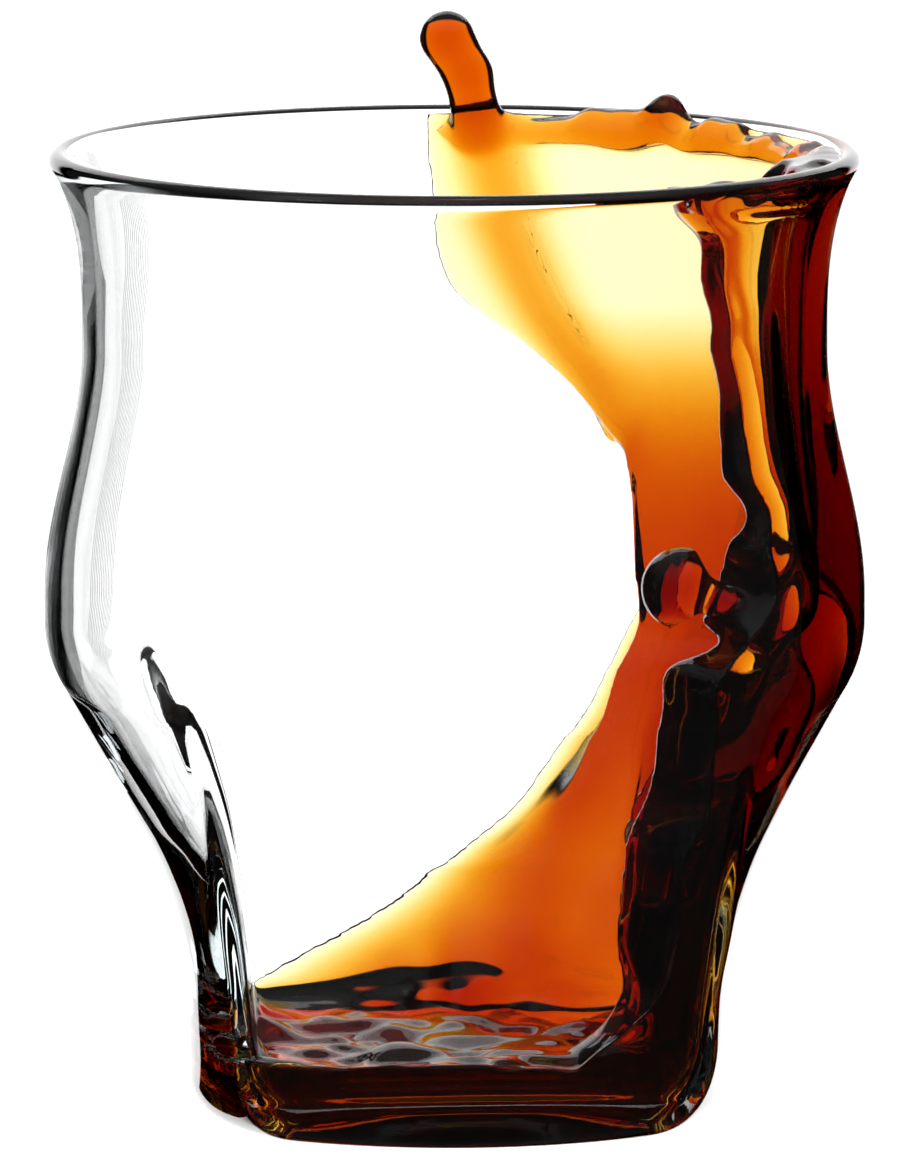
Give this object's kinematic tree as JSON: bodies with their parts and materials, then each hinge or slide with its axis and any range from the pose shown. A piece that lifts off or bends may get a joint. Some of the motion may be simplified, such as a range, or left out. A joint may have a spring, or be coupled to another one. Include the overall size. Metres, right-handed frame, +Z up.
{
  "type": "tasting glass",
  "caption": "Clear blown tasting glass with a flared lip and a round bowl that turns through ridged faces into a bulged square foot, shown with coffee swirling up one wall",
  "frame": {"origin": "centre of the flat underside of the foot", "axes": "+Z is up out of the mouth; the foot's four faces look along +X, +Y, -X and -Y, and the picture is taken from the -Y side"},
  "size_m": [0.08, 0.08, 0.1048],
  "materials": {
    "clear_glass": "clear, smooth and glossy",
    "coffee": "wet, see-through amber to black with thickness"
  },
  "bodies": {
    "root": {"glass_body": "clear_glass", "coffee": "coffee"}
  },
  "joints": []
}
